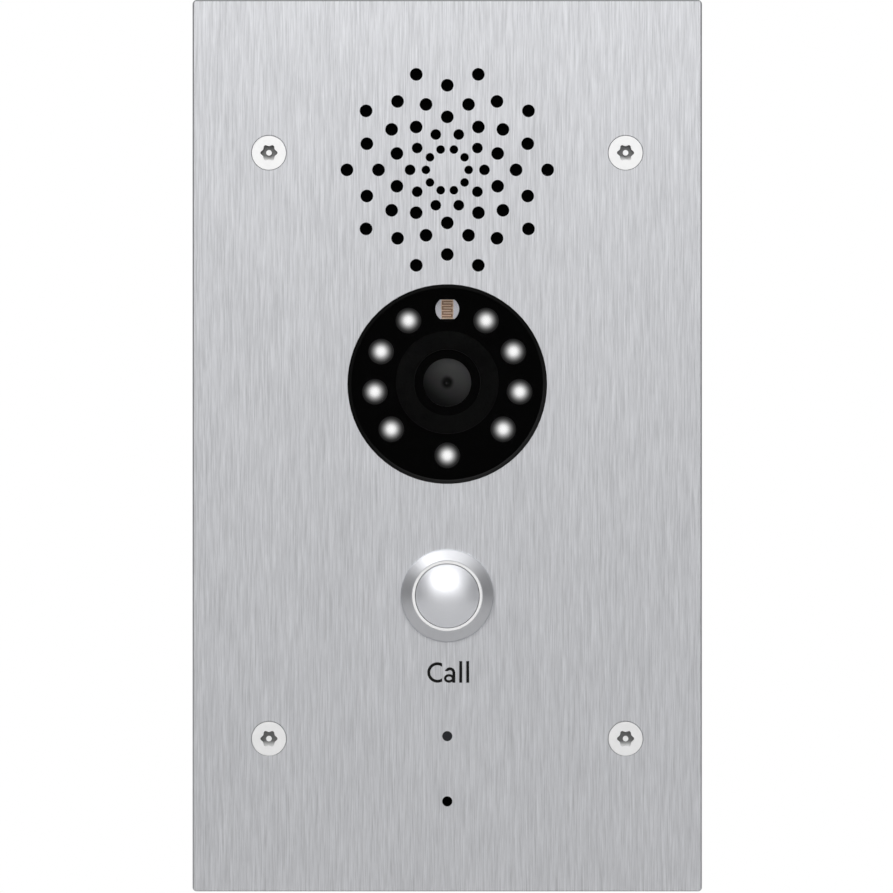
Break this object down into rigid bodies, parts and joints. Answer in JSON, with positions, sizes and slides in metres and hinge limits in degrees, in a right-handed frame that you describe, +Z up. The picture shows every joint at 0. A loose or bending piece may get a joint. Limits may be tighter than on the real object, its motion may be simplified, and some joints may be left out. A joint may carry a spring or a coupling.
{
  "type": "door intercom panel",
  "caption": "Flush-mounted video door intercom: brushed steel plate with speaker holes, lit round camera window and domed call button, on a boxed rear cover.",
  "frame": {"origin": "centre of the four fixing screws, on the wall plane where the rear gasket seats", "axes": "+X to the right as a visitor sees the panel, +Y into the wall, +Z up"},
  "size_m": [0.1, 0.0489, 0.175],
  "materials": {
    "bezel_steel": "turned stainless, satin",
    "black_enamel": "black enamel fill",
    "black_rubber": "moulded rubber, matte",
    "bright_screw": "bright stainless countersunk heads",
    "brushed_plate": "vertically brushed stainless, satin",
    "cap_steel": "domed stainless, fine satin",
    "circuit_board": "green solder mask",
    "cone_paper": "treated paper cone",
    "contact_gold": "gold-flashed contact",
    "diffuser": "white light ring",
    "driver_steel": "plated pressed steel",
    "ferrite": "sintered ferrite",
    "flat_cable": "amber film",
    "grey_foam": "closed-cell foam",
    "jack_grey": "moulded connector body",
    "label_film": "blank polyester label",
    "lamp": "clear epoxy lamp, lit white",
    "lead_sleeve": "sleeved leads",
    "lens_glass": "coated lens glass",
    "lens_metal": "anodised, matte black",
    "light_pipe": "smoked light pipe, unlit",
    "moulded_black": "moulded, matte",
    "moulded_grey": "moulded, fine spark texture",
    "nylon": "natural nylon",
    "sensor_cell": "ceramic cell under clear lacquer",
    "sensor_chip": "image sensor package",
    "sensor_track": "resistive track, copper brown",
    "smoked_window": "polished dark acrylic",
    "speaker_cloth": "woven acoustic cloth",
    "spring_steel": "spring wire",
    "terminal_green": "green terminal body",
    "tin_can": "tin-plated",
    "zinc_steel": "zinc-plated steel"
  },
  "bodies": {
    "panel": {"front_plate": "brushed_plate", "plate_standoffs": "zinc_steel", "wall_gasket": "black_rubber", "fixing_screws": "bright_screw", "captive_washers": "nylon", "call_label": "black_enamel", "speaker_cloth": "speaker_cloth", "speaker_gasket": "grey_foam", "speaker_housing": "moulded_black", "speaker_frame": "driver_steel", "speaker_diaphragm": "cone_paper", "speaker_magnet": "ferrite", "speaker_yoke": "driver_steel", "camera_window": "smoked_window", "window_seal": "black_rubber", "camera_housing": "moulded_black", "led_holder": "moulded_black", "illumination_leds": "lamp", "led_board": "circuit_board", "light_sensor": "sensor_cell", "light_sensor_track": "sensor_track", "light_shield": "grey_foam", "lens_barrel": "lens_metal", "lens_glass": "lens_glass", "lens_mount": "moulded_black", "image_sensor": "sensor_chip", "camera_board": "circuit_board", "camera_board_screws": "zinc_steel", "camera_ribbon": "flat_cable", "module_screws": "zinc_steel", "button_bezel": "bezel_steel", "button_o_ring": "black_rubber", "button_nut": "bezel_steel", "button_light_ring": "diffuser", "button_spring": "spring_steel", "button_base": "moulded_black", "button_terminals": "contact_gold", "status_light_pipe": "light_pipe", "microphone": "tin_can", "microphone_boot": "black_rubber", "main_board": "circuit_board", "board_components": "moulded_black", "shield_can": "tin_can", "board_screws": "zinc_steel", "network_jack": "jack_grey", "network_jack_contacts": "contact_gold", "terminal_block": "terminal_green", "terminal_screws": "tin_can", "rear_cover": "moulded_grey", "cover_seal": "black_rubber", "cover_screws": "zinc_steel", "rating_label": "label_film", "tamper_spring": "spring_steel", "tamper_switch": "moulded_black", "internal_leads": "lead_sleeve"},
    "call_button": {"button_cap": "cap_steel", "button_plunger": "moulded_black", "button_clip": "zinc_steel", "button_contact": "contact_gold"},
    "tamper_pin": {"tamper_plunger": "moulded_black"}
  },
  "joints": [
    {"name": "call_button_press", "type": "slide", "parent": "panel", "child": "call_button", "axis": [0, 1, 0], "range_m": [0, 0.0025], "stiffness_N_per_m": 1200, "springref_m": -0.001, "deforming": ["button_spring"]},
    {"name": "tamper_pin_press", "type": "slide", "parent": "panel", "child": "tamper_pin", "axis": [0, -1, 0], "range_m": [0, 0.003], "stiffness_N_per_m": 300, "springref_m": -0.001, "deforming": ["tamper_spring"]}
  ]
}
